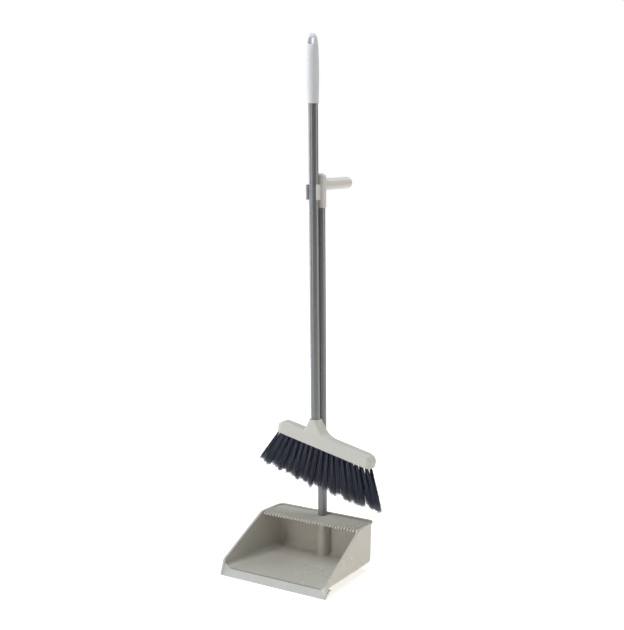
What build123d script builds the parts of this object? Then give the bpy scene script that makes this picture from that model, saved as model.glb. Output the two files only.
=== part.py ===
from build123d import *
import math
import os

os.makedirs("parts", exist_ok=True)

# Long-handled broom clipped to an upright dustpan, in millimetres, +Z up.
# The pan opens towards -Y.  Everything is laid out in a pan frame whose origin is the
# middle of the front edge on the floor, then moved so that the origin is the centre of
# the bounding box's bottom.

# tubes
TUBE_R = 11.0
TUBE_WALL = 0.9
TUBE_APART = 5.5           # clear space between the two tubes
RUN_GAP = 0.07             # radial clearance of the dustpan tube in its column
CLIP_GAP = 0.3             # clearance between the clip and the broom tube

# dustpan tray
PAN_WIDTH = 292.3          # at the front edge
PAN_DEPTH = 230.0
PAN_TAPER = 0.071          # each side moves in by this much per millimetre of depth
PAN_DRAFT = 0.036          # each side leans out by this much per millimetre of height
PAN_WALL = 3.0
FLOOR_UNDER = 13.5
FLOOR_THICK = 2.4
WALL_LOW = 35.7            # height of the side wall where its slope starts
WALL_HIGH = 116.4          # height of the side wall where its slope ends
ROOF_DEEP = 74.3           # level part of the side wall, measured from the back
BACK_RISE = 2.4            # the back wall stands this much higher than the side walls
TRAY_FILLET = 15.0
CORNER_R = 15.0
RIM_OUT = 2.8
RIM_DEEP = 3.6
LEDGE_IN = 2.6
LEDGE_DEEP = 3.0

# front lip
LIP_CREST = (13.6, 15.6)
LIP_THICK = 1.6
LIP_TAIL = 16.0
LIP_GROOVE = 2.7           # open groove between the crest and the floor
LIP_SIDE_GAP = 0.3
SEAL_GAP = 0.2             # between the seal and the sides of its groove
SEAL_TALL = 1.9
GUSSET_WIDE = 17.0
GUSSET_TALL = 11.0

# comb shelf
SHELF_SINK = 1.2           # the shelf lies this far below the top of the side walls
SHELF_THICK = 3.2
SHELF_START = 9.0          # from the upper end of the slope to the shelf's own front
TOOTH_COUNT = 33
TOOTH_SHARE = 0.56
SLOT_LONG = 21.0
TOOTH_DROP = 5.6
GROOVE_LONG = 50.0
GROOVE_DEEP = 2.6          # at the front, falling to nothing at its far end
SHELF_FREE = 0.12
COLLAR_WALL = 1.3
COLLAR_GAP = 0.3

# column and locking tab
TUBE_BACK = 5.0            # from the back of the pan to the dustpan tube
COLUMN_WALL = 2.2
COLUMN_FLOOR_THICK = 6.1
TAB_TURN = 28.0
TAB_HALF = 7.0
TAB_LOW = 78.5
TAB_TALL = 20.0
TAB_SLIT = 0.8
TAB_PROUD = 0.9
TAB_ROUND = 0.75           # rounding of the lower corners as a share of the half width

# feet
FOOT_R = 4.6
FOOT_TALL = 8.0
FOOT_STEM_R = 2.4
FOOT_WALL = 1.2
FRONT_FOOT_SIDE = 17.15    # from the side of the front edge
FRONT_FOOT_Y = 33.5
REAR_FOOT_SIDE = 62.15
REAR_FOOT_BACK = 17.0      # from the back of the pan

# handle sleeve, hand grip and clip
SLEEVE_WALL = 2.5
SLEEVE_SHARE = 0.6838      # height of the sleeve's lower end as a share of the broom's
SLEEVE_TALL = 78.8
SLEEVE_DOME = 9.0
SLEEVE_ROOF = 10.0         # solid plastic above the end of the dustpan tube
GRIP_DROP = 25.9           # from the sleeve's top to the hand grip's axis
GRIP_R = 13.66
GRIP_WALL = 4.6
GRIP_REACH = 124.8
GRIP_TIP = 15.5            # solid end of the hand grip
GRIP_FREE = 0.05
CLIP_RISE = 19.4           # from the sleeve's bottom to the clip
CLIP_TALL = 35.0
CLIP_WALL = 2.3
CLIP_NECK = 15.0
JAW_ROOT = 62.0
JAW_SLIT = 0.35
JAW_FLARE_START = 4.2
JAW_REACH = 11.0
JAW_FLARE = 2.2
SCREW_R = 1.7
SCREW_HEAD_R = 3.6
SCREW_HEAD = 2.2
SCREW_LONG = 9.0

# broom tube and grip
BROOM_GRIP_HIGH = 1251.3
BROOM_GRIP_TALL = 156.9
HOLE_WIDE = 13.2
HOLE_TALL = 18.4
HOLE_DROP = 18.1           # from the grip's top to the middle of the hanging slot
HOLE_FLOOR = 12.0          # from the slot's lower end to the broom tube
SEAT_GAP = 0.02            # clearance of parts that are pressed on or in
GRIP_SECTIONS = (           # share of the height, half width and half thickness over the tube
    (0.0, 2.1, 2.1), (0.12, 2.4, 2.4), (0.28, 2.85, 2.85), (0.45, 3.15, 3.1),
    (0.62, 2.75, 2.6), (0.74, 2.35, 1.9), (0.83, 2.1, -0.4), (0.9, 1.4, -2.8),
    (0.955, -0.7, -4.6), (0.985, -3.8, -6.3), (1.0, -7.4, -8.4))

# broom head
HEAD_TILT = 12.47
HEAD_Z = 295.0             # where the tube's axis meets the head's lower face
HEAD_LEFT = 110.7
HEAD_RIGHT = 165.4
HEAD_TALL = 29.5
HEAD_FRONT = 17.4
HEAD_BACK = 15.5
HEAD_ROUND = 24.0
HEAD_END = 17.0            # rounding of the bar's ends seen from above
HEAD_EDGE = 7.0
SOCKET_TALL = 62.0
SOCKET_WALL = 2.9
SOCKET_DEEP = 38.0
INSERT_WALL = 3.0
THREAD_PITCH = 1.9

# tufts
TUFT_COUNT = 19
ROW_OFFSETS = (-11.6, -3.9, 3.9, 11.0)
ROW_LEANS = (-6.5, -3.5, -1.2, 0.0)
TUFT_R = 2.3
TUFT_NECK_R = 1.5
TUFT_TIP_R = 4.4
TUFT_DEEP = 12.0
TUFT_LONG = 95.0
FAN_LEFT = -21.5
FAN_RIGHT = 27.0
TUFT_MARGIN = 10.5
STAPLE_THICK = 0.5

# sizes that follow from the ones above
FLOOR_TOP = FLOOR_UNDER + FLOOR_THICK
HIGH_KINK_Y = PAN_DEPTH - ROOF_DEEP
LOW_KINK = (14.6, WALL_LOW)
HIGH_KINK = (HIGH_KINK_Y, WALL_HIGH)
BACK_TOP = WALL_HIGH + BACK_RISE
SHELF_TOP = WALL_HIGH - SHELF_SINK
SHELF_LOW = SHELF_TOP - SHELF_THICK
TUBE_GAP = 2 * TUBE_R + TUBE_APART
AXIS_Y = PAN_DEPTH - TUBE_BACK - TUBE_R
BROOM_Y = AXIS_Y - TUBE_GAP
COLUMN_R = TUBE_R + COLUMN_WALL
COLUMN_FLOOR = FLOOR_TOP + COLUMN_FLOOR_THICK
TAB_HIGH = TAB_LOW + TAB_TALL
FRONT_FOOT = (PAN_WIDTH / 2 - FRONT_FOOT_SIDE, FRONT_FOOT_Y)
REAR_FOOT = (PAN_WIDTH / 2 - REAR_FOOT_SIDE, PAN_DEPTH - REAR_FOOT_BACK)
SLEEVE_R = TUBE_R + SLEEVE_WALL
SLEEVE_LOW = SLEEVE_SHARE * BROOM_GRIP_HIGH
SLEEVE_HIGH = SLEEVE_LOW + SLEEVE_TALL
GRIP_Z = SLEEVE_HIGH - GRIP_DROP
SPIGOT_R = GRIP_R - GRIP_WALL
CLIP_LOW = SLEEVE_LOW + CLIP_RISE
CLIP_HIGH = CLIP_LOW + CLIP_TALL
CLIP_INNER = TUBE_R + CLIP_GAP
SCREW_Z = (SLEEVE_LOW + CLIP_LOW) / 2 + 2
PAN_TUBE_LOW = COLUMN_FLOOR + 2.0
PAN_TUBE_HIGH = SLEEVE_HIGH - SLEEVE_ROOF
BROOM_GRIP_LOW = BROOM_GRIP_HIGH - BROOM_GRIP_TALL
HOLE_Z = BROOM_GRIP_HIGH - HOLE_DROP
SOCKET_TOP = HEAD_Z + SOCKET_TALL
SOCKET_R = TUBE_R + SOCKET_WALL
INSERT_R = TUBE_R - INSERT_WALL
BROOM_TUBE_LOW = SOCKET_TOP - SOCKET_DEEP
BROOM_TUBE_HIGH = HOLE_Z - HOLE_TALL / 2 - HOLE_FLOOR
SOCKET_SECTIONS = (         # height, left, right, front, back, corner radius
    (SOCKET_TOP, -SOCKET_R, SOCKET_R, -SOCKET_R, SOCKET_R, 11.0),
    (SOCKET_TOP - 11, -17.6, 17.8, -HEAD_FRONT + 1.6, HEAD_BACK - 0.7, 9.0),
    (SOCKET_TOP - 21, -21.2, 22.4, -HEAD_FRONT + 0.5, HEAD_BACK - 0.2, 7.0),
    (SOCKET_TOP - 31, -24.8, 29.0, -HEAD_FRONT + 0.06, HEAD_BACK - 0.06, 5.5),
    (SOCKET_TOP - 39, -26.0, 39.0, -HEAD_FRONT + 0.06, HEAD_BACK - 0.06, 4.5),
    (SOCKET_TOP - 46, -26.0, 52.0, -HEAD_FRONT + 0.1, HEAD_BACK - 0.1, 4.0))


def half_width(y, z):
    return PAN_WIDTH / 2 - PAN_TAPER * y + PAN_DRAFT * z


def unit(a, b):
    length = math.dist(a, b)
    return ((b[0] - a[0]) / length, (b[1] - a[1]) / length)


def rounded_face(corners):
    """Flat face on XY from (x, y, corner radius) points."""
    edges = []
    count = len(corners)
    spans = []
    for index in range(count):
        x, y, radius = corners[index]
        before = corners[index - 1]
        after = corners[(index + 1) % count]
        back = unit((x, y), before[:2])
        ahead = unit((x, y), after[:2])
        cosine = back[0] * ahead[0] + back[1] * ahead[1]
        half = math.acos(max(-1.0, min(1.0, cosine))) / 2
        if radius <= 0:
            spans.append(((x, y), None, (x, y)))
            continue
        cut = radius / math.tan(half)
        start = (x + back[0] * cut, y + back[1] * cut)
        end = (x + ahead[0] * cut, y + ahead[1] * cut)
        middle = unit((0, 0), (back[0] + ahead[0], back[1] + ahead[1]))
        reach = radius / math.sin(half) - radius
        spans.append((start, (x + middle[0] * reach, y + middle[1] * reach), end))
    for index in range(count):
        start, through, end = spans[index]
        if through is not None:
            edges.append(ThreePointArc(start, through, end))
        following = spans[(index + 1) % count][0]
        if math.dist(end, following) > 1e-6:
            edges.append(Line(end, following))
    return make_face(Curve() + edges)


def across(face, half):
    """Stand a (y, z) face up and extrude it both ways along X."""
    return extrude(Plane.YZ * face, amount=half, both=True)


def trapezoid(z, inset, front, back):
    near = half_width(front, z) - inset
    far = half_width(back, z) - inset
    points = [(-near, front), (near, front), (far, back), (-far, back)]
    return Plane.XY.offset(z) * make_face(Polyline(*points, close=True))


def tapered_block(inset, front, back):
    """All the room between the two side planes moved in by inset."""
    return loft([trapezoid(-20, inset, front, back), trapezoid(160, inset, front, back)],
                ruled=True)


def edges_near(shape, test):
    return ShapeList([edge for edge in shape.edges() if test(edge.center())])


def upright_cylinder(radius, low, high, x=0.0, y=0.0):
    height = high - low
    return Pos(x, y, low + height / 2) * Cylinder(radius, height)


def soften(shape, edges, radius):
    if len(edges) == 0:
        return shape
    return fillet(edges, radius)


def front_run(z):
    """Depth of the wall's front edge at height z."""
    return LOW_KINK[0] * z / LOW_KINK[1]


def wall_profile(low, back, back_extra, rise):
    """Side view of the tray from its front edge to its back wall."""
    start = front_run(low)
    return [
        (start, low, 0),
        (back, low, 0),
        (back + back_extra, BACK_TOP + rise, 0),
        (HIGH_KINK[0], HIGH_KINK[1] + rise, 16),
        (LOW_KINK[0], LOW_KINK[1] + rise, 7),
    ]


def tray_block(inset, low, back, front, profile):
    """A tray-shaped block with its bottom and back corners rounded."""
    block = across(rounded_face(profile), PAN_WIDTH) & tapered_block(inset, front, back + 20)
    corner = CORNER_R - inset
    block = soften(block, edges_near(block, lambda c: c.Y > back - 1 and abs(c.X) > 100
                                     and low + 5 < c.Z < BACK_TOP + 20), corner)
    bottom = TRAY_FILLET - inset
    block = soften(block, edges_near(block, lambda c: c.Z < low + 0.5 and c.Y > front + 20
                                     and (abs(c.X) > 100 or c.Y > back - 30)), bottom)
    return block


def tray_inner():
    back = PAN_DEPTH - PAN_WALL
    profile = [(-40, FLOOR_TOP, 0), (back, FLOOR_TOP, 0), (back, 175, 0), (-40, 175, 0)]
    return tray_block(PAN_WALL, FLOOR_TOP, back, -60, profile)


def rim_ring(inner):
    """Bead that runs up both slanted walls and round the back."""
    back = PAN_DEPTH + RIM_OUT
    deep = RIM_DEEP
    along = unit(LOW_KINK, HIGH_KINK)
    drop = deep / max(along[0], 0.2)
    profile = [
        (front_run(0.6), 0.6, 0),
        (front_run(0.6) + deep, 0.6, 0),
        (LOW_KINK[0] + deep * 1.05, LOW_KINK[1] - 1.2, 5),
        (HIGH_KINK[0] + 1.5, HIGH_KINK[1] - drop, 15),
        (back, BACK_TOP - deep, 0),
        (back, BACK_TOP, 0),
        (HIGH_KINK[0], HIGH_KINK[1], 16),
        (LOW_KINK[0], LOW_KINK[1], 7),
    ]
    ring = across(rounded_face(profile), PAN_WIDTH) & tapered_block(-RIM_OUT, -30, back)
    ring = soften(ring, edges_near(ring, lambda c: c.Y > back - 1 and abs(c.X) > 100
                                   and c.Z > 60 and c.Z < BACK_TOP - 0.5), CORNER_R + RIM_OUT)
    return ring - inner - lip_room()


def column():
    body = upright_cylinder(COLUMN_R, FLOOR_TOP - 1, SHELF_LOW, y=AXIS_Y)
    web_long = PAN_DEPTH - 1 - AXIS_Y
    tall = SHELF_LOW - FLOOR_TOP + 1
    web = Pos(0, AXIS_Y + web_long / 2, FLOOR_TOP - 1 + tall / 2) * Box(
        2 * COLUMN_R, web_long, tall)
    return body + web


def tab_frame():
    return Pos(0, AXIS_Y, 0) * Rot(0, 0, TAB_TURN)


def tab_blank(grow):
    """Tongue outline, rounded at its lower end, pushed out along -Y of its own frame."""
    half = TAB_HALF + grow
    low = TAB_LOW - grow
    high = TAB_HIGH + grow
    outline = Plane.XZ * rounded_face([
        (-half, low, half * TAB_ROUND), (half, low, half * TAB_ROUND), (half, high, 0.4),
        (-half, high, 0.4)])
    return Pos(0, -TUBE_R + 1.2, 0) * extrude(outline, amount=COLUMN_R - TUBE_R + 4)


def pan_body():
    inner = tray_inner()
    outer = tray_block(0.0, FLOOR_UNDER, PAN_DEPTH, -30,
                       wall_profile(FLOOR_UNDER, PAN_DEPTH, 0, 0))
    body = outer - inner - lip_room() - groove_room() + rim_ring(inner)
    ledge_low = SHELF_LOW - LEDGE_DEEP
    band = Pos(0, 160 + PAN_DEPTH / 2, ledge_low + LEDGE_DEEP / 2) * Box(
        PAN_WIDTH, PAN_DEPTH, LEDGE_DEEP)
    back = PAN_DEPTH - PAN_WALL
    hollow_profile = [(-40, 60, 0), (back - LEDGE_IN, 60, 0), (back - LEDGE_IN, 175, 0),
                      (-40, 175, 0)]
    hollow = across(rounded_face(hollow_profile), PAN_WIDTH) & tapered_block(
        PAN_WALL + LEDGE_IN, -60, back + 20)
    ledge = (band & inner) - hollow
    reach = HIGH_KINK[0] + 14
    ledge = ledge & (Pos(0, reach + 100, 100) * Box(2 * PAN_WIDTH, 200, 200))
    body = body + ledge + column()
    bore = upright_cylinder(TUBE_R + RUN_GAP, COLUMN_FLOOR, SHELF_TOP, y=AXIS_Y)
    body = body - bore - tab_frame() * tab_blank(TAB_SLIT)
    for x, y in foot_places():
        body = body + upright_cylinder(FOOT_R - FOOT_WALL, FOOT_TALL - 1.0, FLOOR_UNDER + 1.5, x, y)
        body = body - upright_cylinder(FOOT_STEM_R, 0, FLOOR_UNDER + 0.5, x, y)
        body = body - upright_cylinder(FOOT_R + 1, 0, FOOT_TALL, x, y)
    return body


def foot_places():
    places = []
    for x, y in (FRONT_FOOT, REAR_FOOT):
        places.append((-x, y))
        places.append((x, y))
    return places


def feet(places):
    pads = []
    for x, y in places:
        pad = upright_cylinder(FOOT_R, 0, FOOT_TALL, x, y)
        pad = soften(pad, pad.edges().group_by(Axis.Z)[0], 0.9)
        pad = pad + upright_cylinder(FOOT_STEM_R, FOOT_TALL - 1, FLOOR_UNDER + 0.4, x, y)
        pads.append(pad)
    return Compound(pads)


def corner_gusset(side):
    """Solid triangle between the wall, the crest and the front edge; side is -1 or +1."""
    crest_y, crest_z = LIP_CREST
    crest_y = crest_y - 0.5
    wall = half_width(crest_y, crest_z) - PAN_WALL + 0.5
    front_wall = half_width(0, 2) - PAN_WALL + 0.5
    top = Vector(side * wall, crest_y, crest_z + GUSSET_TALL)
    inner = Vector(side * (wall - GUSSET_WIDE), crest_y, crest_z - 0.2)
    front = Vector(side * front_wall, 1.6, 2.0)
    base = Vector(side * wall, crest_y, FLOOR_UNDER - 1)
    corners = [(top, inner, front), (top, base, inner), (top, front, base),
               (inner, base, front)]
    faces = [make_face(Polyline(*corner, close=True)) for corner in corners]
    return Solid(Shell(faces))


def lip_room():
    """Space between the walls, ahead of the floor, that belongs to the lip."""
    crest_y, crest_z = LIP_CREST
    high = crest_z + GUSSET_TALL + 4
    room = Pos(0, crest_y - 0.5 - 30, high / 2 - 5) * Box(2 * PAN_WIDTH, 60, high + 10)
    return room & tapered_block(PAN_WALL, -60, 100)


def groove_room():
    """Groove in the floor just behind the lip's crest."""
    start = LIP_CREST[0] - 1.0
    groove = Pos(0, start + LIP_GROOVE / 2 + 0.5, FLOOR_TOP) * Box(
        2 * PAN_WIDTH, LIP_GROOVE, 2 * FLOOR_THICK)
    return groove & tapered_block(PAN_WALL, -60, 100)


def lip_seal():
    """Dark strip that fills the groove between the two corner gussets."""
    start = LIP_CREST[0] - 0.5 + SEAL_GAP
    end = start + LIP_GROOVE - 2 * SEAL_GAP
    profile = rounded_face([
        (start, FLOOR_UNDER, 0), (end, FLOOR_UNDER, 0), (end, FLOOR_UNDER + SEAL_TALL, 0.9),
        (start, FLOOR_UNDER + SEAL_TALL, 0.9)])
    half = half_width(end, FLOOR_UNDER) - PAN_WALL - GUSSET_WIDE - 1
    return across(profile, half)


def front_lip(body):
    """Sloped lip from the floor's front edge down to the ground, with corner gussets."""
    crest_y, crest_z = LIP_CREST
    profile = [
        (0, 0, 0),
        (LIP_THICK, 0, 0),
        (crest_y + 0.6, FLOOR_UNDER - LIP_THICK, 1.0),
        (crest_y + LIP_TAIL, FLOOR_UNDER - LIP_THICK, 0),
        (crest_y + LIP_TAIL, FLOOR_UNDER, 0),
        (crest_y - 0.5, FLOOR_UNDER, 0),
        (crest_y - 0.5, crest_z, 0),
        (crest_y - 1.4, crest_z, 0),
    ]
    strip = across(rounded_face(profile), PAN_WIDTH) & tapered_block(LIP_SIDE_GAP, -30, 60)
    strip = strip + corner_gusset(-1) + corner_gusset(1)
    return strip - body


def comb_shelf():
    """Grooved shelf over the back of the pan whose front edge is a comb of hooked teeth."""
    front = HIGH_KINK_Y + SHELF_START
    back = PAN_DEPTH - PAN_WALL - SHELF_FREE
    room = tray_block(PAN_WALL + SHELF_FREE, FLOOR_TOP, back, -60,
                      [(-40, FLOOR_TOP, 0), (back, FLOOR_TOP, 0), (back, 175, 0),
                       (-40, 175, 0)])
    slab = Pos(0, front + 100, SHELF_LOW + SHELF_THICK / 2) * Box(
        2 * PAN_WIDTH, 200, SHELF_THICK)
    collar = upright_cylinder(TUBE_R + COLLAR_GAP + COLLAR_WALL, SHELF_LOW, SHELF_TOP, y=AXIS_Y)
    half = half_width(front, SHELF_TOP) - PAN_WALL - SHELF_FREE
    pitch = 2 * half / TOOTH_COUNT
    gap_half = pitch * (1 - TOOTH_SHARE) / 2
    lead = 5.0
    groove = Plane.YZ * make_face(Polyline(
        (front - lead, SHELF_TOP - GROOVE_DEEP), (front + SLOT_LONG, SHELF_TOP - GROOVE_DEEP),
        (front + GROOVE_LONG, SHELF_TOP), (front + GROOVE_LONG, SHELF_TOP + 1),
        (front - lead, SHELF_TOP + 1), close=True))
    groove = extrude(groove, amount=gap_half, both=True)
    slot = Pos(0, front + (SLOT_LONG - lead) / 2, SHELF_TOP) * Box(
        2 * gap_half, SLOT_LONG + lead, SHELF_THICK * 3)
    cuts = []
    for index in range(1, TOOTH_COUNT):
        place = Pos(-half + index * pitch, 0, 0)
        cuts.append(place * slot)
        cuts.append(place * groove)
    shelf = (slab & room) - cuts + collar
    shelf = shelf - upright_cylinder(TUBE_R + COLLAR_GAP, SHELF_LOW - 1, SHELF_TOP + 1,
                                     y=AXIS_Y)
    tip = HIGH_KINK_Y - 0.7
    nose = rounded_face([
        (front + 0.5, SHELF_TOP, 0), (front + 0.5, SHELF_LOW, 0), (front - 2.5, SHELF_LOW, 2.5),
        (tip + 3.0, SHELF_TOP - TOOTH_DROP - 1.6, 0.8), (tip, SHELF_TOP - TOOTH_DROP, 0.8),
        (tip + 3.4, SHELF_TOP, 6.0)])
    tooth = extrude(Plane.YZ * nose, amount=pitch * TOOTH_SHARE / 2, both=True)
    teeth = [Pos(-half + (index + 0.5) * pitch, 0, 0) * tooth for index in range(TOOTH_COUNT)]
    return shelf + teeth


def locking_tab():
    ring = upright_cylinder(COLUMN_R + TAB_PROUD, TAB_LOW - 5, TAB_HIGH + 5)
    ring = ring - upright_cylinder(TUBE_R + 0.4, TAB_LOW - 6, TAB_HIGH + 6)
    return tab_frame() * (ring & tab_blank(0.0))


def tube(low, high, y):
    return upright_cylinder(TUBE_R, low, high, y=y) - upright_cylinder(
        TUBE_R - TUBE_WALL, low - 1, high + 1, y=y)


def screw_path(radius, reach):
    y = AXIS_Y + SLEEVE_R + 0.5
    return Pos(0, y - reach / 2, SCREW_Z) * Rot(90, 0, 0) * Cylinder(radius, reach)


def pan_tube():
    return tube(PAN_TUBE_LOW, PAN_TUBE_HIGH, AXIS_Y) - screw_path(SCREW_R, SCREW_LONG + 1)


def tube_plug(low, high, y, flange):
    inner = TUBE_R - TUBE_WALL
    plug = upright_cylinder(inner - SEAT_GAP, low, high, y=y)
    return plug + upright_cylinder(TUBE_R - 0.1, low - flange, low, y=y)


def clip_ring(start, end, low, high):
    """Part of a ring round the broom tube, angles from +Y, positive towards +X."""
    ring = upright_cylinder(CLIP_INNER + CLIP_WALL, low, high) - upright_cylinder(
        CLIP_INNER, low - 1, high + 1)
    reach = 40.0
    steps = 8
    points = [(0.0, 0.0)]
    for index in range(steps + 1):
        angle = math.radians(start + (end - start) * index / steps)
        points.append((reach * math.sin(angle), reach * math.cos(angle)))
    wedge = extrude(Plane.XY.offset(low - 1) * make_face(Polyline(*points, close=True)),
                    amount=high - low + 2)
    return Pos(0, BROOM_Y, 0) * (ring & wedge)


def handle_sleeve():
    shell = upright_cylinder(SLEEVE_R, SLEEVE_LOW, SLEEVE_HIGH, y=AXIS_Y)
    shell = soften(shell, shell.edges().group_by(Axis.Z)[-1], SLEEVE_DOME)
    spigot_end = GRIP_REACH - GRIP_TIP - 0.5
    spigot = Pos(0, AXIS_Y + spigot_end / 2, GRIP_Z) * Rot(90, 0, 0) * Cylinder(
        SPIGOT_R, spigot_end)
    neck_deep = TUBE_GAP - CLIP_INNER - SLEEVE_R + 6
    neck = Pos(0, AXIS_Y - SLEEVE_R + 4 - neck_deep / 2, (CLIP_LOW + CLIP_HIGH) / 2) * Box(
        CLIP_NECK, neck_deep, CLIP_TALL)
    gap_angle = math.degrees(JAW_SLIT / (TUBE_R + CLIP_WALL))
    ring = clip_ring(-JAW_ROOT + gap_angle, JAW_ROOT - gap_angle, CLIP_LOW, CLIP_HIGH)
    body = shell + spigot + neck + ring
    body = body - upright_cylinder(CLIP_INNER, CLIP_LOW - 1, CLIP_HIGH + 1, y=BROOM_Y)
    body = body - upright_cylinder(TUBE_R + SEAT_GAP, SLEEVE_LOW - 1, PAN_TUBE_HIGH, y=AXIS_Y)
    return body - screw_path(SCREW_R, SCREW_LONG + 1)


def hand_grip():
    """Round grip with a domed end, hollowed to slide over the spigot, saddled on the sleeve."""
    end = AXIS_Y + GRIP_REACH
    length = end - AXIS_Y
    body = Pos(0, AXIS_Y + length / 2, GRIP_Z) * Rot(90, 0, 0) * Cylinder(GRIP_R, length)
    body = soften(body, body.edges().sort_by(Axis.Y)[-1:], GRIP_R * 0.86)
    hollow_long = GRIP_REACH - GRIP_TIP
    hollow = Pos(0, AXIS_Y + hollow_long / 2, GRIP_Z) * Rot(90, 0, 0) * Cylinder(
        SPIGOT_R + GRIP_FREE, hollow_long)
    saddle = upright_cylinder(SLEEVE_R + GRIP_FREE, SLEEVE_LOW, SLEEVE_HIGH + GRIP_R, y=AXIS_Y)
    return body - hollow - saddle


def clip_jaw(side):
    """One jaw of the clip; side is +1 on the right and -1 on the left."""
    inner = CLIP_INNER
    arc = clip_ring(JAW_ROOT, 90.0, CLIP_LOW, CLIP_HIGH)
    outline = rounded_face([
        (inner, 0.02, 0), (inner, -JAW_FLARE_START, 4.0),
        (inner + JAW_FLARE, -JAW_REACH, 0.9),
        (inner + JAW_FLARE + CLIP_WALL * 0.9, -JAW_REACH + 0.9, 0.9),
        (inner + CLIP_WALL, -JAW_FLARE_START + 1.2, 4.0), (inner + CLIP_WALL, 0.02, 0)])
    lip = Pos(0, BROOM_Y, 0) * extrude(Plane.XY.offset(CLIP_LOW) * outline,
                                       amount=CLIP_TALL)
    jaw = arc + lip
    if side < 0:
        jaw = mirror(jaw, Plane.YZ)
    return jaw


def sleeve_screw():
    shank = screw_path(SCREW_R - 0.05, SCREW_LONG)
    head = Pos(0, AXIS_Y + SLEEVE_R + SCREW_HEAD / 2, SCREW_Z) * Rot(90, 0, 0) * Cylinder(
        SCREW_HEAD_R, SCREW_HEAD)
    head = soften(head, head.edges().sort_by(Axis.Y)[-1:], 1.0)
    return shank + head


def broom_grip():
    """Barrel-shaped grip that flattens towards its rounded top, with a hanging slot."""
    low = BROOM_GRIP_LOW
    high = BROOM_GRIP_HIGH
    span = high - low
    sections = []
    for share, wide, thick in GRIP_SECTIONS:
        sections.append(Plane.XY.offset(low + share * span) * Ellipse(
            TUBE_R + wide, TUBE_R + thick))
    body = loft(sections)
    body = soften(body, body.edges().group_by(Axis.Z)[0], 1.0)
    body = soften(body, body.edges().group_by(Axis.Z)[-1], 1.2)
    slot = Plane.XZ * (Pos(0, HOLE_Z) * SlotOverall(HOLE_TALL, HOLE_WIDE, rotation=90))
    body = body - extrude(slot, amount=40, both=True)
    body = soften(body, edges_near(body, lambda c: abs(c.Z - HOLE_Z) < HOLE_TALL / 2 + 0.5
                                   and abs(c.X) < HOLE_WIDE / 2 + 0.5
                                   and abs(c.Y) > 3.0), 1.0)
    body = body - upright_cylinder(TUBE_R + SEAT_GAP, low - 1, BROOM_TUBE_HIGH)
    return Pos(0, BROOM_Y, 0) * body


def head_place():
    """Head frame: x along the bar to the right, z up across it, origin under the tube."""
    return Pos(0, BROOM_Y, HEAD_Z) * Rot(0, HEAD_TILT, 0)


def head_bar():
    """Bar with rounded upper corners, rounded ends seen from above and soft upper edges."""
    outline = rounded_face([
        (-HEAD_LEFT, 0, 5.0), (HEAD_RIGHT, 0, 5.0), (HEAD_RIGHT, HEAD_TALL, HEAD_ROUND),
        (-HEAD_LEFT, HEAD_TALL, HEAD_ROUND)])
    bar = extrude(Plane.XZ * outline, amount=HEAD_FRONT) + extrude(
        Plane.XZ * outline, amount=-HEAD_BACK)
    back_end = HEAD_END - (HEAD_FRONT - HEAD_BACK)
    plan = rounded_face([
        (-HEAD_LEFT, -HEAD_FRONT, HEAD_END), (HEAD_RIGHT, -HEAD_FRONT, HEAD_END),
        (HEAD_RIGHT, HEAD_BACK, back_end), (-HEAD_LEFT, HEAD_BACK, back_end)])
    bar = bar & extrude(Plane.XY.offset(-1) * plan, amount=HEAD_TALL + 2)
    bar = soften(bar, edges_near(bar, lambda c: abs(c.Y) > 10 and c.Z > HEAD_TALL - 2),
                 HEAD_EDGE)
    return head_place() * bar


def head_socket():
    """Flared socket that blends into the bar on its long side."""
    sections = []
    for z, left, right, front, back, corner in SOCKET_SECTIONS:
        outline = RectangleRounded(right - left, back - front, corner)
        sections.append(Plane.XY.offset(z) * Pos(
            (left + right) / 2, (front + back) / 2) * outline)
    body = loft(sections)
    body = soften(body, body.edges().group_by(Axis.Z)[-1], 1.2)
    return Pos(0, BROOM_Y, 0) * body


def tuft_spots():
    """(row, x along the bar, lean along the bar in degrees, lean across in degrees)."""
    spots = []
    first = -HEAD_LEFT + TUFT_MARGIN
    last = HEAD_RIGHT - TUFT_MARGIN
    for row in range(len(ROW_OFFSETS)):
        stagger = 0.5 if row % 2 else 0.0
        count = TUFT_COUNT - (row % 2)
        for index in range(count):
            share = (index + stagger) / (TUFT_COUNT - 1)
            x = first + (last - first) * share
            lean = FAN_LEFT + (FAN_RIGHT - FAN_LEFT) * share
            spots.append((row, x, lean, ROW_LEANS[row]))
    return spots


def tuft_hole(x, row, radius):
    offset = ROW_OFFSETS[row] - (HEAD_FRONT - HEAD_BACK) / 2
    return head_place() * (Pos(x, offset, TUFT_DEEP / 2 - 1) * Cylinder(radius, TUFT_DEEP + 2))


def broom_head():
    head = head_bar() + head_socket()
    bore = upright_cylinder(TUBE_R + SEAT_GAP, BROOM_TUBE_LOW - 1.0, SOCKET_TOP + 5, y=BROOM_Y)
    head = head - bore
    pilot = upright_cylinder(INSERT_R, HEAD_Z + 16, SOCKET_TOP, y=BROOM_Y)
    head = head - pilot
    holes = [tuft_hole(x, row, TUFT_R) for row, x, lean, tip in tuft_spots()]
    return head - holes


def thread_insert():
    """Plug in the tube's end whose stem screws into the head."""
    low = BROOM_TUBE_LOW
    plug = upright_cylinder(TUBE_R - TUBE_WALL - SEAT_GAP, low, low + 34, y=BROOM_Y)
    flange = upright_cylinder(TUBE_R - 0.1, low - 0.9, low, y=BROOM_Y)
    bottom = HEAD_Z + 17
    stem = upright_cylinder(INSERT_R - 0.9, bottom, low, y=BROOM_Y)
    ridges = []
    turn = bottom + 0.4
    while turn < low - 2.4:
        ridges.append(upright_cylinder(INSERT_R - 0.05, turn, turn + 0.9, y=BROOM_Y))
        turn += THREAD_PITCH
    return plug + flange + stem + ridges


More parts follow.
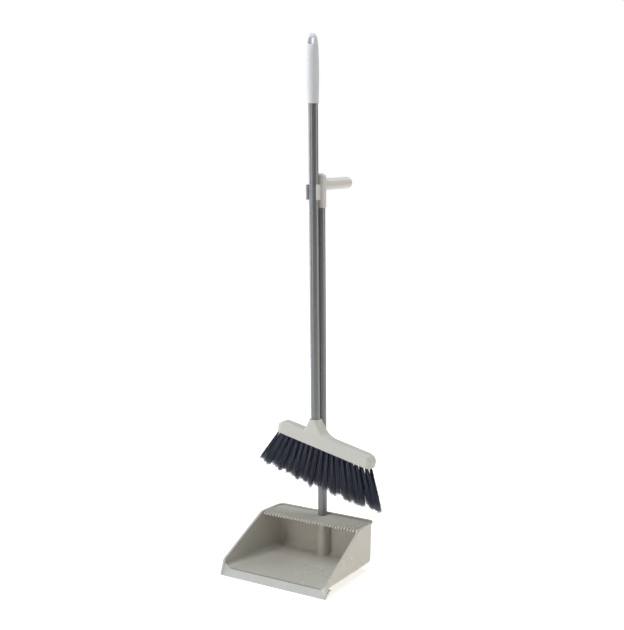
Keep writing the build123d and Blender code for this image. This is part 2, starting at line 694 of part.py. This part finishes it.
def tuft_row(row):
    tufts = []
    offset = ROW_OFFSETS[row] - (HEAD_FRONT - HEAD_BACK) / 2
    for which, x, lean, tip in tuft_spots():
        if which != row:
            continue
        root = Pos(x, offset, TUFT_DEEP / 2 - 0.6) * Cylinder(TUFT_R - 0.03, TUFT_DEEP)
        reach = TUFT_LONG / math.cos(math.radians(lean))
        hang = Rot(0, 180, 0) * (Pos(0, 0, reach / 2) * Cone(TUFT_NECK_R, TUFT_TIP_R, reach))
        hang = Rot(tip, 0, 0) * Rot(0, -lean, 0) * hang
        tufts.append(head_place() * (root + Pos(x, offset, 0.3) * hang))
    return Compound(tufts)


def tuft_staples():
    """Flat wire anchors across the bottom of every tuft hole."""
    anchors = []
    for row, x, lean, tip in tuft_spots():
        offset = ROW_OFFSETS[row] - (HEAD_FRONT - HEAD_BACK) / 2
        anchors.append(head_place() * (Pos(x, offset, TUFT_DEEP - 0.3) * Box(
            TUFT_R * 1.6, STAPLE_THICK, 0.5)))
    return Compound(anchors)


def everything():
    front_feet = [place for place in foot_places() if place[1] == FRONT_FOOT[1]]
    rear_feet = [place for place in foot_places() if place[1] == REAR_FOOT[1]]
    body = pan_body()
    parts = {
        "pan_body": body,
        "front_lip": front_lip(body),
        "lip_seal": lip_seal(),
        "comb_shelf": comb_shelf(),
        "front_feet": feet(front_feet),
        "rear_feet": feet(rear_feet),
        "locking_tab": locking_tab(),
        "pan_tube": pan_tube(),
        "pan_tube_plug": tube_plug(PAN_TUBE_LOW, PAN_TUBE_LOW + 20, AXIS_Y, 1.5),
        "handle_sleeve": handle_sleeve(),
        "hand_grip": hand_grip(),
        "sleeve_screw": sleeve_screw(),
        "clip_jaw_left": clip_jaw(-1),
        "clip_jaw_right": clip_jaw(1),
        "broom_grip": broom_grip(),
        "broom_tube": tube(BROOM_TUBE_LOW, BROOM_TUBE_HIGH, BROOM_Y),
        "thread_insert": thread_insert(),
        "broom_head": broom_head(),
        "tuft_staples": tuft_staples(),
    }
    for row in range(len(ROW_OFFSETS)):
        parts["bristle_row_%d" % (row + 1)] = tuft_row(row)
    return parts


parts = everything()
boxes = [shape.bounding_box() for shape in parts.values()]
low_x = min(box.min.X for box in boxes)
high_x = max(box.max.X for box in boxes)
low_y = min(box.min.Y for box in boxes)
high_y = max(box.max.Y for box in boxes)
low_z = min(box.min.Z for box in boxes)
shift = Pos(-(low_x + high_x) / 2, -(low_y + high_y) / 2, -low_z)
for name, shape in parts.items():
    export_step(shift * shape, os.path.join("parts", name + ".step"))
print("datum shift", -(low_x + high_x) / 2, -(low_y + high_y) / 2, -low_z)
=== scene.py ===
import math
import random

import bmesh
import bpy
from mathutils import Matrix, Vector


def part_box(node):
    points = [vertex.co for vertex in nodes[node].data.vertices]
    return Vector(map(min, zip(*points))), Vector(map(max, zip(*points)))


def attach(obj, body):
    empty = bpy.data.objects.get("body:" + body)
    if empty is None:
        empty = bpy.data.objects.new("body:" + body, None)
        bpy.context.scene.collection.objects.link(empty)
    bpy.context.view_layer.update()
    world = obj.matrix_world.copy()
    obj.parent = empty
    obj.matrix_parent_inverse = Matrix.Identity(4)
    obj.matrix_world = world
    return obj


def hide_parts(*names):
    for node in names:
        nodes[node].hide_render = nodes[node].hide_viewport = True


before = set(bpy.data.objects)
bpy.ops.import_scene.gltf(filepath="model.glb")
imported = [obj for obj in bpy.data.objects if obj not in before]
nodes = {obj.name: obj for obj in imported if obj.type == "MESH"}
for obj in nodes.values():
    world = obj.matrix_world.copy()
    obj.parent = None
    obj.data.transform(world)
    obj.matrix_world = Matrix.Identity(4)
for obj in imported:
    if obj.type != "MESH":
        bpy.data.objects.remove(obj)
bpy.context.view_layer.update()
mm = 0.001
random.seed(11)
print("frame loaded")


def newGroup(name, inputs, outputs):
    group = bpy.data.node_groups.new(name, "ShaderNodeTree")
    for label, kind, value in inputs:
        socket = group.interface.new_socket(name=label, in_out="INPUT", socket_type=kind)
        if value is not None:
            socket.default_value = value
    for label, kind in outputs:
        group.interface.new_socket(name=label, in_out="OUTPUT", socket_type=kind)
    start = group.nodes.new("NodeGroupInput")
    end = group.nodes.new("NodeGroupOutput")
    return group, start, end


def addNode(tree, kind, values=None, **settings):
    node = tree.nodes.new(kind)
    for key, value in settings.items():
        setattr(node, key, value)
    for key, value in (values or {}).items():
        node.inputs[key].default_value = value
    return node


def wire(tree, source, output, target, entry):
    tree.links.new(source.outputs[output], target.inputs[entry])


grainLook = {
    "fine": {"Detail": 3.0, "Roughness": 0.6},
    "slow": {"Detail": 4.0, "Roughness": 0.55},
    "speckShare": 0.22,            # scale of the specks beside the fine grain
    "speckReach": 0.16,
}
dustLook = {
    "height": 0.12,                # dust thins out to nothing this far above the floor
    "cloud": {"Scale": 60.0, "Detail": 6.0, "Roughness": 0.7},
    "thin": 0.35,
    "thick": 0.75,
    "colour": (0.62, 0.60, 0.56, 1.0),
}
patchLow = 0.3                     # the slow pattern stays between these two
patchHigh = 0.7


def makeMouldGrain():
    # fine spark-eroded texture of a mould, with slow patches of colour and shine
    group, start, end = newGroup(
        "mouldGrain",
        [("Grain Size", "NodeSocketFloat", 900.0), ("Patch Size", "NodeSocketFloat", 9.0),
         ("Grain", "NodeSocketFloat", 1.0)],
        [("Height", "NodeSocketFloat"), ("Patch", "NodeSocketFloat"),
         ("Speck", "NodeSocketFloat")])
    place = addNode(group, "ShaderNodeTexCoord")
    fine = addNode(group, "ShaderNodeTexNoise", grainLook["fine"])
    slow = addNode(group, "ShaderNodeTexNoise", grainLook["slow"])
    speck = addNode(group, "ShaderNodeTexVoronoi", {"Randomness": 1.0})
    speckRamp = addNode(group, "ShaderNodeMapRange",
                        {"From Min": 0.0, "From Max": grainLook["speckReach"], "To Min": 1.0,
                         "To Max": 0.0})
    size = addNode(group, "ShaderNodeMath", {1: grainLook["speckShare"]}, operation="MULTIPLY")
    scale = addNode(group, "ShaderNodeMath", operation="MULTIPLY")
    for texture in (fine, slow, speck):
        wire(group, place, "Object", texture, "Vector")
    wire(group, start, "Grain Size", fine, "Scale")
    wire(group, start, "Patch Size", slow, "Scale")
    wire(group, start, "Grain Size", size, 0)
    wire(group, size, 0, speck, "Scale")
    wire(group, speck, "Distance", speckRamp, "Value")
    wire(group, fine, "Fac", scale, 0)
    wire(group, start, "Grain", scale, 1)
    wire(group, scale, 0, end, "Height")
    wire(group, slow, "Fac", end, "Patch")
    wire(group, speckRamp, "Result", end, "Speck")
    return group


def makeSettledDust():
    # pale patchy dust that grows thicker towards the floor
    group, start, end = newGroup(
        "settledDust",
        [("Height", "NodeSocketFloat", dustLook["height"]), ("Amount", "NodeSocketFloat", 0.3)],
        [("Mask", "NodeSocketFloat")])
    place = addNode(group, "ShaderNodeTexCoord")
    split = addNode(group, "ShaderNodeSeparateXYZ")
    fall = addNode(group, "ShaderNodeMapRange", {"From Max": 0.0, "To Min": 0.0, "To Max": 1.0})
    cloud = addNode(group, "ShaderNodeTexNoise", dustLook["cloud"])
    edge = addNode(group, "ShaderNodeMapRange", {
        "From Min": dustLook["thin"], "From Max": dustLook["thick"]})
    joined = addNode(group, "ShaderNodeMath", operation="MULTIPLY")
    weighed = addNode(group, "ShaderNodeMath", operation="MULTIPLY")
    wire(group, place, "Object", split, "Vector")
    wire(group, split, "Z", fall, "Value")
    wire(group, start, "Height", fall, "From Min")
    wire(group, place, "Object", cloud, "Vector")
    wire(group, cloud, "Fac", edge, "Value")
    wire(group, fall, "Result", joined, 0)
    wire(group, edge, "Result", joined, 1)
    wire(group, joined, 0, weighed, 0)
    wire(group, start, "Amount", weighed, 1)
    wire(group, weighed, 0, end, "Mask")
    return group


mouldGrain = makeMouldGrain()
settledDust = makeSettledDust()


def newMaterial(name, **shine):
    material = bpy.data.materials.new(name)
    material.use_nodes = True
    tree = material.node_tree
    shader = tree.nodes["Principled BSDF"]
    for label, value in shine.items():
        shader.inputs[label].default_value = value
    return material, tree, shader


def mixColour(tree, factorNode, factorOutput, low, high):
    mix = tree.nodes.new("ShaderNodeMix")
    mix.data_type = "RGBA"
    mix.inputs["A"].default_value = (*low, 1.0)
    mix.inputs["B"].default_value = (*high, 1.0)
    if factorNode is not None:
        tree.links.new(factorNode.outputs[factorOutput], mix.inputs["Factor"])
    return mix


def useGroup(tree, group, **values):
    node = tree.nodes.new("ShaderNodeGroup")
    node.node_tree = group
    for key, value in values.items():
        node.inputs[key.replace("_", " ")].default_value = value
    return node


def varyRoughness(tree, grain, shader, low, high):
    rough = addNode(tree, "ShaderNodeMapRange", {
        "From Min": patchLow, "From Max": patchHigh, "To Min": low, "To Max": high})
    tree.links.new(grain.outputs["Patch"], rough.inputs["Value"])
    tree.links.new(rough.outputs["Result"], shader.inputs["Roughness"])


def raiseGrain(tree, grain, shader, strength, distance):
    bump = addNode(tree, "ShaderNodeBump", {"Strength": strength, "Distance": distance})
    tree.links.new(grain.outputs["Height"], bump.inputs["Height"])
    tree.links.new(bump.outputs["Normal"], shader.inputs["Normal"])


def plasticFinish(name, look):
    material, tree, shader = newMaterial(
        name, **{"Specular IOR Level": look["specular"], "Coat Weight": look["coat"],
                 "Coat Roughness": look["coatRoughness"]})
    grain = useGroup(tree, mouldGrain, Grain_Size=look["grainSize"], Grain=1.0,
                     Patch_Size=look["patchSize"])
    colour = mixColour(tree, grain, "Patch", look["dark"], look["light"])
    dust = useGroup(tree, settledDust, Amount=look["dust"])
    dusty = tree.nodes.new("ShaderNodeMix")
    dusty.data_type = "RGBA"
    dusty.inputs["B"].default_value = dustLook["colour"]
    tree.links.new(dust.outputs["Mask"], dusty.inputs["Factor"])
    tree.links.new(colour.outputs["Result"], dusty.inputs["A"])
    tree.links.new(dusty.outputs["Result"], shader.inputs["Base Color"])
    varyRoughness(tree, grain, shader, look["roughness"] - look["roughRange"],
                  look["roughness"] + look["roughRange"])
    raiseGrain(tree, grain, shader, look["bump"], 0.05 * mm)
    return material


def tubePaintFinish(name, look):
    # satin powder coat with fine metallic flake
    material, tree, shader = newMaterial(
        name, **{"Metallic": look["metallic"], "Coat Weight": look["coat"],
                 "Coat Roughness": look["coatRoughness"]})
    place = addNode(tree, "ShaderNodeTexCoord")
    flake = addNode(tree, "ShaderNodeTexVoronoi", {"Scale": look["flakeSize"]})
    tree.links.new(place.outputs["Object"], flake.inputs["Vector"])
    bright = addNode(tree, "ShaderNodeMapRange")
    tree.links.new(flake.outputs["Color"], bright.inputs["Value"])
    colour = mixColour(tree, bright, "Result", look["dark"], look["light"])
    tree.links.new(colour.outputs["Result"], shader.inputs["Base Color"])
    grain = useGroup(tree, mouldGrain, Grain_Size=look["grainSize"],
                     Patch_Size=look["patchSize"])
    varyRoughness(tree, grain, shader, look["roughness"] - look["roughRange"],
                  look["roughness"] + look["roughRange"])
    raiseGrain(tree, grain, shader, look["bump"], 0.04 * mm)
    return material


def bristleFinish(name, look):
    # strands near a tuft's core get painted shade, darker as if shadowed by the strands around
    # them, and the flagged tips are paler
    material, tree, shader = newMaterial(
        name, **{"Specular IOR Level": look["specular"], "Roughness": look["roughness"],
                 "Sheen Weight": look["sheen"], "Sheen Roughness": look["sheenRoughness"]})
    outer = addNode(tree, "ShaderNodeAttribute", attribute_name="outer")
    along = addNode(tree, "ShaderNodeAttribute", attribute_name="along")
    # painted shade: strands in the tuft's core are darkened in colour, standing in for the shade
    # between strands
    paintedCoreShade = addNode(tree, "ShaderNodeMapRange", {"From Min": look["paintedShadeCore"]})
    tree.links.new(outer.outputs["Fac"], paintedCoreShade.inputs["Value"])
    grain = useGroup(tree, mouldGrain, Patch_Size=look["patchSize"])
    patchAndPaintedShade = addNode(tree, "ShaderNodeMath", operation="MULTIPLY")
    tree.links.new(paintedCoreShade.outputs["Result"], patchAndPaintedShade.inputs[0])
    tree.links.new(grain.outputs["Patch"], patchAndPaintedShade.inputs[1])
    colour = mixColour(tree, patchAndPaintedShade, 0, look["dark"], look["light"])
    pale = addNode(tree, "ShaderNodeMapRange", {
        "From Min": look["paleStart"], "To Max": look["paleness"]})
    tree.links.new(along.outputs["Fac"], pale.inputs["Value"])
    tips = mixColour(tree, pale, "Result", look["dark"], look["tip"])
    tree.links.new(colour.outputs["Result"], tips.inputs["A"])
    tree.links.new(tips.outputs["Result"], shader.inputs["Base Color"])
    return material


def steelFinish(name, look):
    material, tree, shader = newMaterial(name, Metallic=1.0)
    grain = useGroup(tree, mouldGrain, Patch_Size=look["patchSize"])
    colour = mixColour(tree, grain, "Patch", look["dark"], look["light"])
    tree.links.new(colour.outputs["Result"], shader.inputs["Base Color"])
    varyRoughness(tree, grain, shader, look["smooth"], look["rough"])
    return material


# where the broom head is: its lower face, its tilt and the tufts in it
tubeLow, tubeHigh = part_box("broom_tube")
broomAxis = ((tubeLow[0] + tubeHigh[0]) / 2, (tubeLow[1] + tubeHigh[1]) / 2)
head = {
    "tilt": math.radians(12.47),
    "lowerFaceZ": 295.0 * mm,      # height of the lower face under the tube's axis
    "left": 110.7 * mm,
    "right": 165.4 * mm,
    "middleY": -0.95 * mm,         # middle of the bar from the tube's axis
}
finishes = {
    "pan": dict(dark=(0.574, 0.547, 0.505), light=(0.584, 0.557, 0.515), specular=0.5, coat=0.12,
                coatRoughness=0.12, roughness=0.27, roughRange=0.008, grainSize=1100.0,
                patchSize=9.0, bump=0.12, dust=0.0),
    "lip": dict(dark=(0.56, 0.558, 0.548), light=(0.615, 0.615, 0.605), specular=0.45, coat=0.0,
                coatRoughness=0.3, roughness=0.45, roughRange=0.05, grainSize=1000.0,
                patchSize=12.0, bump=0.2, dust=0.05),
    "handle": dict(dark=(0.62, 0.607, 0.60), light=(0.68, 0.667, 0.66), specular=0.5, coat=0.05,
                   coatRoughness=0.3, roughness=0.42, roughRange=0.05, grainSize=1200.0,
                   patchSize=14.0, bump=0.2, dust=0.0),
    "grip": dict(dark=(0.615, 0.630, 0.685), light=(0.675, 0.690, 0.75), specular=0.5, coat=0.05,
                 coatRoughness=0.3, roughness=0.42, roughRange=0.05, grainSize=1000.0,
                 patchSize=12.0, bump=0.3, dust=0.0),
    "head": dict(dark=(0.575, 0.562, 0.545), light=(0.635, 0.622, 0.605), specular=0.5, coat=0.05,
                 coatRoughness=0.3, roughness=0.42, roughRange=0.05, grainSize=1100.0,
                 patchSize=12.0, bump=0.2, dust=0.0),
    "tube": dict(dark=(0.17, 0.18, 0.195), light=(0.25, 0.26, 0.28), metallic=0.55, coat=0.35,
                 coatRoughness=0.18, roughness=0.34, roughRange=0.04, flakeSize=2600.0,
                 grainSize=1400.0, patchSize=14.0, bump=0.12),
    # paintedShadeCore sets how far out from a tuft's core the painted shade of its strands
    # reaches
    "bristle": dict(dark=(0.003, 0.004, 0.009), light=(0.105, 0.125, 0.235),
                    tip=(0.30, 0.31, 0.36), specular=0.5, roughness=0.34, sheen=0.1,
                    sheenRoughness=0.35, paintedShadeCore=0.55, patchSize=260.0, paleStart=0.90,
                    paleness=0.55),
    # this dark finish is real rubber on the feet; on lip_seal it is painted shade for the
    # groove's shadow line
    "rubberAndShadeLine": dict(dark=(0.012, 0.010, 0.009), light=(0.03, 0.027, 0.024), specular=0.35,
                   coat=0.0, coatRoughness=0.3, roughness=0.7, roughRange=0.08,
                   grainSize=700.0, patchSize=60.0, bump=0.5, dust=0.06),
    "insert": dict(dark=(0.03, 0.03, 0.03), light=(0.05, 0.05, 0.05), specular=0.4, coat=0.0,
                   coatRoughness=0.3, roughness=0.5, roughRange=0.05, grainSize=900.0,
                   patchSize=30.0, bump=0.2, dust=0.0),
    "steel": dict(dark=(0.55, 0.55, 0.55), light=(0.72, 0.72, 0.71), patchSize=40.0,
                  smooth=0.2, rough=0.38),
}

materials = {name: plasticFinish(name + "Plastic", finishes[name])
             for name in ("pan", "lip", "handle", "grip", "head", "insert")}
materials["tube"] = tubePaintFinish("tubePaint", finishes["tube"])
materials["bristle"] = bristleFinish("bristleFibre", finishes["bristle"])
materials["rubberAndShadeLine"] = plasticFinish("footRubberAndShadeLine", finishes["rubberAndShadeLine"])
materials["steel"] = steelFinish("zincSteel", finishes["steel"])

nodeFinish = {
    "pan_body": "pan", "comb_shelf": "pan", "locking_tab": "pan", "front_lip": "lip",
    "front_feet": "rubberAndShadeLine", "rear_feet": "rubberAndShadeLine", "pan_tube": "tube", "broom_tube": "tube",
    "pan_tube_plug": "insert", "thread_insert": "insert", "handle_sleeve": "handle",
    "hand_grip": "handle", "clip_jaw_left": "handle", "clip_jaw_right": "handle",
    "sleeve_screw": "steel", "tuft_staples": "steel", "broom_grip": "grip",
    # lip_seal is a dark strip laid in the groove between the lip and the pan's floor, standing in
    # for the shadow line there: painted shade
    "broom_head": "head", "lip_seal": "rubberAndShadeLine",
}


def paintNode(name, material):
    node = nodes[name]
    if not node.material_slots:
        node.data.materials.append(material)
    for slot in node.material_slots:
        slot.material = material


for nodeName, finish in nodeFinish.items():
    paintNode(nodeName, materials[finish])
print("materials ready")


# bristles: a few tufts are grown strand by strand, then set into the head row by row

tuft = {
    "perRow": 19,
    "margin": 10.5 * mm,           # from the bar's end to the first tuft
    "rowOffsets": (-11.6 * mm, -3.9 * mm, 3.9 * mm, 11.0 * mm),
    "rowLeans": (-6.5, -3.5, -1.2, 0.0),   # how far each row tips forward, in degrees
    "fanLeft": -22.5,              # lean of the end tufts in degrees
    "fanRight": 25.0,
    "length": 95.0 * mm,
    "variants": 7,
    "strands": 130,
    "strandRadius": 0.30 * mm,
    "holeRadius": 2.2 * mm,
    "tipWide": 5.2 * mm,           # half width of a tuft's end along the head
    "tipDeep": 4.4 * mm,
    "ragged": 0.045,               # how unevenly the strands were trimmed
    "splitShare": 0.5,             # share of strands with a flagged tip
    "splitLong": 5.5 * mm,
    "fanShortening": 0.75,         # leaning tufts end higher, as they were cut before fanning
    "leanStray": 2.0,              # how far a tuft strays from its lean and its tip, in degrees
    "tipStray": 1.2,
    "shortest": -0.07,             # share of its length that a tuft is short or long by
    "longest": 0.05,
}
strandShape = {
    "seat": 4.0 * mm,              # how deep a strand starts inside the head
    "steps": 4,
    "taper": 0.9,                  # each step is this much thinner than the last
    "radiusFrom": 0.8,
    "radiusTo": 1.2,
    "stray": (1.0 * mm, 0.7 * mm),         # how far the tip and the middle stray
    "strayFactor": 1.3,
    "bow": (0.7 * mm, 0.5 * mm),
    "splits": 2,
    "splitSpread": (0.5, 0.4),
    "splitDrop": (-1.0, -0.2),
    "splitThin": 0.45,
    "splitAlong": 0.97,
}


def growStrand(bm, start, end, bow, radius, outer, alongStart, steps):
    layerPaintedShade = bm.verts.layers.float["outer"]
    layerAlong = bm.verts.layers.float["along"]
    ring = bmesh.ops.create_circle(bm, cap_ends=True, segments=3, radius=radius)["verts"]
    bmesh.ops.rotate(bm, verts=ring, cent=(0, 0, 0),
                     matrix=Matrix.Rotation(random.uniform(0, 2.0), 3, "Z"))
    bmesh.ops.translate(bm, verts=ring, vec=start)
    cap = ring[0].link_faces[0]
    for vert in ring:
        vert[layerPaintedShade] = outer
        vert[layerAlong] = alongStart
    here = start
    for step in range(1, steps + 1):
        share = step / steps
        there = start.lerp(end, share) + bow * (share * (1.0 - share) * 4.0)
        grown = bmesh.ops.extrude_discrete_faces(bm, faces=[cap])["faces"]
        cap = grown[0]
        moved = list(cap.verts)
        bmesh.ops.translate(bm, verts=moved, vec=there - here)
        bmesh.ops.scale(bm, verts=moved, vec=(strandShape["taper"], strandShape["taper"], 1.0),
                        space=Matrix.Translation(-there))
        for vert in moved:
            vert[layerPaintedShade] = outer
            vert[layerAlong] = alongStart + (1.0 - alongStart) * share
        here = there


def newStrandMesh():
    bm = bmesh.new()
    bm.verts.layers.float.new("outer")
    bm.verts.layers.float.new("along")
    return bm


def growTuft():
    mesh = bpy.data.meshes.new("tuftPattern")
    bm = newStrandMesh()
    bm.to_mesh(mesh)
    bm.free()
    for strand in range(tuft["strands"]):
        bm = newStrandMesh()
        angle = random.uniform(0, 2 * math.pi)
        spread = math.sqrt(random.random())
        flat = Vector((math.cos(angle), math.sin(angle), 0)) * spread
        start = flat * tuft["holeRadius"] + Vector((0, 0, strandShape["seat"]))
        reach = tuft["length"] * (1.0 + random.gauss(0, tuft["ragged"]))
        strayX, strayY = (random.gauss(0, size) for size in strandShape["stray"])
        wander = Vector((strayX, strayY, 0)) * strandShape["strayFactor"]
        end = Vector((flat.x * tuft["tipWide"], flat.y * tuft["tipDeep"], -reach)) + wander
        bowX, bowY = (random.gauss(0, size) for size in strandShape["bow"])
        bow = Vector((bowX, bowY, 0))
        radius = tuft["strandRadius"] * random.uniform(strandShape["radiusFrom"],
                                                       strandShape["radiusTo"])
        # each strand keeps its distance from the tuft's core, which drives the painted shade of
        # the core
        growStrand(bm, start, end, bow, radius, spread, 0.0, strandShape["steps"])
        if random.random() < tuft["splitShare"]:
            for split in range(strandShape["splits"]):
                spreadX, spreadY = (random.gauss(0, size) for size in strandShape["splitSpread"])
                drop = random.uniform(*strandShape["splitDrop"])
                away = Vector((spreadX, spreadY, drop)) * tuft["splitLong"]
                growStrand(bm, end, end + away, Vector((0, 0, 0)),
                           radius * strandShape["splitThin"], spread,
                           strandShape["splitAlong"], 1)
        bm.from_mesh(mesh)
        bm.to_mesh(mesh)
        bm.free()
    return mesh


def setTuft(bm, pattern, x, y, lean, tip, stretch):
    before = len(bm.verts)
    bm.from_mesh(pattern)
    bm.verts.ensure_lookup_table()
    added = bm.verts[before:]
    turn = Matrix.Rotation(random.choice((0.0, math.pi)), 4, "Z")
    slant = Matrix.Identity(4)
    slant[0][2] = -math.tan(math.radians(lean))
    slant[1][2] = -math.tan(math.radians(tip))
    slant[2][2] = stretch
    place = Matrix.Translation((broomAxis[0], broomAxis[1], head["lowerFaceZ"]))
    tilt = Matrix.Rotation(head["tilt"], 4, "Y")
    matrix = place @ tilt @ Matrix.Translation((x, y, 0)) @ slant @ turn
    bmesh.ops.transform(bm, matrix=matrix, verts=added)


def bristleRow(row, patterns):
    bm = bmesh.new()
    first = -head["left"] + tuft["margin"]
    last = head["right"] - tuft["margin"]
    y = head["middleY"] + tuft["rowOffsets"][row]
    stagger = 0.5 if row % 2 else 0.0
    for index in range(tuft["perRow"] - row % 2):
        share = (index + stagger) / (tuft["perRow"] - 1)
        lean = tuft["fanLeft"] + (tuft["fanRight"] - tuft["fanLeft"]) * share
        drop = 1.0 - tuft["fanShortening"] * (1.0 - math.cos(math.radians(lean)))
        setTuft(bm, random.choice(patterns), first + (last - first) * share, y,
                lean + random.uniform(-tuft["leanStray"], tuft["leanStray"]),
                -tuft["rowLeans"][row] + random.uniform(-tuft["tipStray"], tuft["tipStray"]),
                drop + random.uniform(tuft["shortest"], tuft["longest"]))
    bmesh.ops.recalc_face_normals(bm, faces=bm.faces)
    mesh = bpy.data.meshes.new("bristleRow%d" % (row + 1))
    bm.to_mesh(mesh)
    bm.free()
    mesh.materials.append(materials["bristle"])
    piece = bpy.data.objects.new(mesh.name, mesh)
    bpy.context.collection.objects.link(piece)
    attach(piece, "broom")
    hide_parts("bristle_row_%d" % (row + 1))
    print("bristle row", row + 1, "has", len(mesh.polygons), "faces")


tuftPatterns = [growTuft() for index in range(tuft["variants"])]
for row in range(len(tuft["rowOffsets"])):
    bristleRow(row, tuftPatterns)
print("bristles ready")


studio = {
    "floorRadius": 14.0,
    "whiteFrom": 0.25,             # the paper turns from near to far white between these
    "whiteTo": 1.3,
    "floorColour": (0.90, 0.90, 0.90),
    "floorGlow": 0.375,            # light that the white paper gives back
    "glowColour": (1.0, 0.935, 0.83),
    "paperNear": 0.55,             # how white the paper looks beside the pan
    "paperFar": 1.0,               # and away from it
    "skySeen": 1.0,
    "skyLight": 0.04,
    "skyColour": (1.0, 0.95, 0.90),
    "lightAim": (0, 0, 0.5),
    "lights": (
        # name, azimuth, height, distance, width and height of the panel, watts, colour
        ("keyLeft", -17.0, 1.3, 3.0, 0.8, 2.4, 23.5, (1.0, 0.965, 0.88)),
        ("sideLeft", -80.0, 1.3, 3.0, 1.2, 2.4, 46, (0.84, 0.91, 1.0)),
        ("warmRight", 120.0, 1.2, 3.0, 1.2, 2.4, 25, (1.0, 0.93, 0.78)),
        ("topFront", -20.0, 3.2, 0.9, 2.2, 2.2, 52, (0.94, 1.0, 0.995)),
        ("topBack", 165.0, 2.8, 1.6, 1.8, 1.8, 32, (0.95, 1.0, 0.99)),
    ),
}

camera = {
    "target": (0.0, -0.0120, 0.6107),
    "distance": 2.907,
    "azimuth": 34.14,
    "elevation": 8.536,
    "roll": -0.46,
    "lens": 71.78,
}


def makeFloor():
    bm = bmesh.new()
    bmesh.ops.create_circle(bm, cap_ends=True, segments=96, radius=studio["floorRadius"])
    mesh = bpy.data.meshes.new("studioFloor")
    bm.to_mesh(mesh)
    bm.free()
    floor = bpy.data.objects.new("studioFloor", mesh)
    bpy.context.collection.objects.link(floor)
    material, tree, shader = newMaterial("floorPaper", **{
        "Roughness": 0.9, "Specular IOR Level": 0.1,
        "Base Color": (*studio["floorColour"], 1.0)})
    place = addNode(tree, "ShaderNodeTexCoord")
    away = addNode(tree, "ShaderNodeVectorMath", operation="LENGTH")
    tree.links.new(place.outputs["Object"], away.inputs[0])
    white = addNode(tree, "ShaderNodeMapRange", {
        "From Min": studio["whiteFrom"], "From Max": studio["whiteTo"],
        "To Min": studio["paperNear"],
        "To Max": studio["paperFar"]}, interpolation_type="SMOOTHSTEP")
    tree.links.new(away.outputs["Value"], white.inputs["Value"])
    ray = addNode(tree, "ShaderNodeLightPath")
    glow = addNode(tree, "ShaderNodeMix", {"A": studio["floorGlow"]})
    tree.links.new(ray.outputs["Is Camera Ray"], glow.inputs["Factor"])
    tree.links.new(white.outputs["Result"], glow.inputs["B"])
    tree.links.new(glow.outputs["Result"], shader.inputs["Emission Strength"])
    colour = mixColour(tree, ray, "Is Camera Ray", studio["glowColour"], (1.0, 1.0, 1.0))
    tree.links.new(colour.outputs["Result"], shader.inputs["Emission Color"])
    mesh.materials.append(material)


def makeSky():
    world = bpy.data.worlds.new("studioSky")
    bpy.context.scene.world = world
    world.use_nodes = True
    tree = world.node_tree
    shade = tree.nodes["Background"]
    ray = addNode(tree, "ShaderNodeLightPath")
    level = addNode(tree, "ShaderNodeMapRange", {
        "To Min": studio["skyLight"], "To Max": studio["skySeen"]})
    tree.links.new(ray.outputs["Is Camera Ray"], level.inputs["Value"])
    tree.links.new(level.outputs["Result"], shade.inputs["Strength"])
    colour = mixColour(tree, ray, "Is Camera Ray", studio["skyColour"], (1.0, 1.0, 1.0))
    tree.links.new(colour.outputs["Result"], shade.inputs["Color"])


def makeLights():
    for name, azimuth, height, distance, wide, tall, watts, colour in studio["lights"]:
        light = bpy.data.lights.new(name, "AREA")
        light.shape = "RECTANGLE"
        light.size = wide
        light.size_y = tall
        light.energy = watts
        light.color = colour
        turn = math.radians(azimuth)
        place = Vector((math.sin(turn) * distance, -math.cos(turn) * distance, height))
        aim = Vector(studio["lightAim"])
        lamp = bpy.data.objects.new(name, light)
        lamp.location = place
        lamp.rotation_mode = "QUATERNION"
        lamp.rotation_quaternion = (aim - place).to_track_quat("-Z", "Y")
        bpy.context.collection.objects.link(lamp)


def makeCamera():
    data = bpy.data.cameras.new("studioCamera")
    data.lens = camera["lens"]
    lens = bpy.data.objects.new("studioCamera", data)
    turn = math.radians(camera["azimuth"])
    rise = math.radians(camera["elevation"])
    back = Vector((math.sin(turn) * math.cos(rise), -math.cos(turn) * math.cos(rise),
                   math.sin(rise)))
    lens.location = Vector(camera["target"]) + back * camera["distance"]
    lens.rotation_mode = "QUATERNION"
    level = (-back).to_track_quat("-Z", "Y").to_matrix()
    level = level @ Matrix.Rotation(math.radians(camera["roll"]), 3, "Z")
    lens.rotation_quaternion = level.to_quaternion()
    bpy.context.collection.objects.link(lens)
    bpy.context.scene.camera = lens


makeFloor()
makeSky()
makeLights()
makeCamera()
bpy.context.scene.view_settings.view_transform = "Standard"
print("stage ready")
